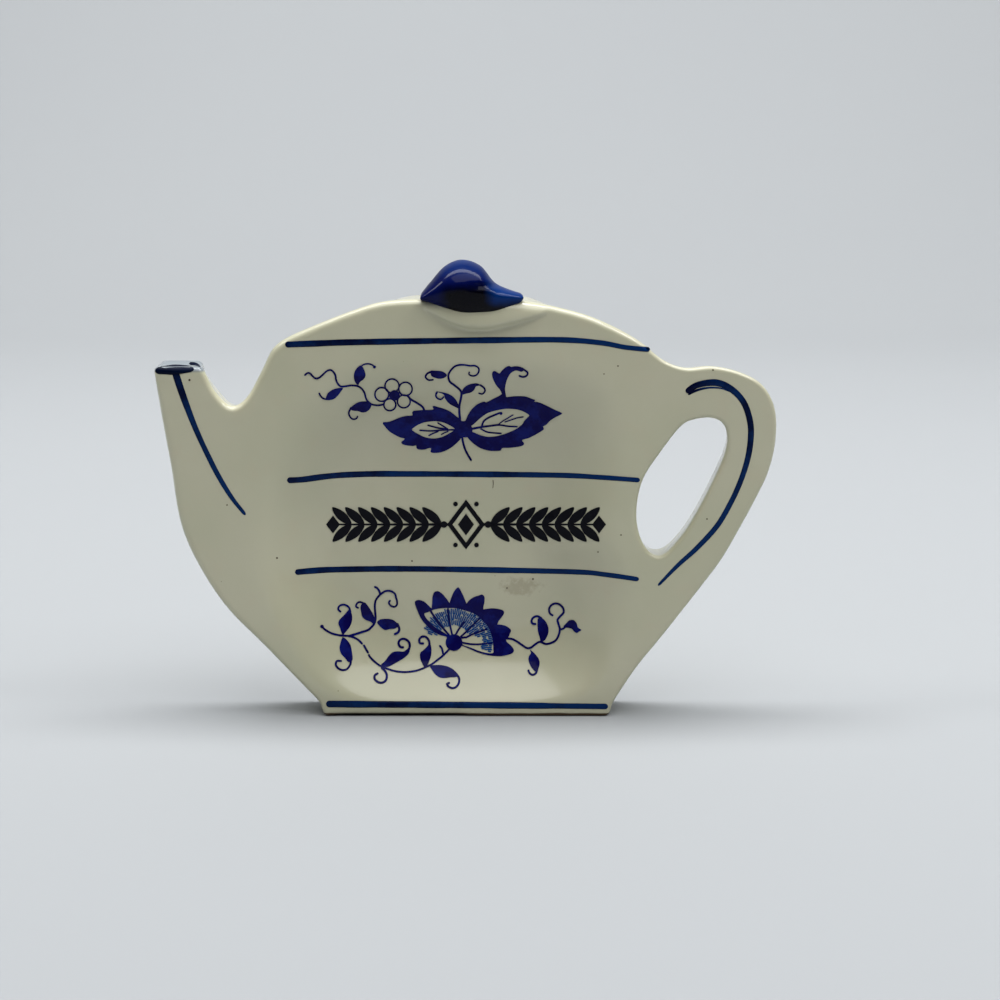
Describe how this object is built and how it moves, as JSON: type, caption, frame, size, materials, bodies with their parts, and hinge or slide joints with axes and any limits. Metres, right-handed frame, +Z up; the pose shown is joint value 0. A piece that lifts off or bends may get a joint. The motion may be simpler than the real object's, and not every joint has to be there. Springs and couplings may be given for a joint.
{
  "type": "tea bag rest",
  "caption": "Glazed ceramic tea bag rest shaped like a flat teapot that stands upright, with a shallow well, a spout, a loop handle, a bud knob and painted blue lines.",
  "frame": {"origin": "centre of the flat foot that the rest stands on", "axes": "+Z up, +X towards the handle, the well and the painted front face -Y, the foot ring on the back faces +Y"},
  "size_m": [0.1177, 0.0151, 0.088],
  "materials": {
    "ivory_glaze": "glossy ivory glaze",
    "bare_foot": "unglazed ground foot",
    "cobalt_glaze": "glossy deep cobalt glaze",
    "blue_line": "glossy fired navy colour"
  },
  "bodies": {
    "root": {"dish": "ivory_glaze", "spout": "ivory_glaze", "handle": "ivory_glaze", "knob": "cobalt_glaze", "knob_collar": "ivory_glaze", "foot_ring": "bare_foot", "top_band": "blue_line", "upper_belt_band": "blue_line", "lower_belt_band": "blue_line", "base_band": "blue_line", "spout_lip_band": "blue_line", "spout_stroke": "blue_line", "handle_stroke": "blue_line"}
  },
  "joints": []
}
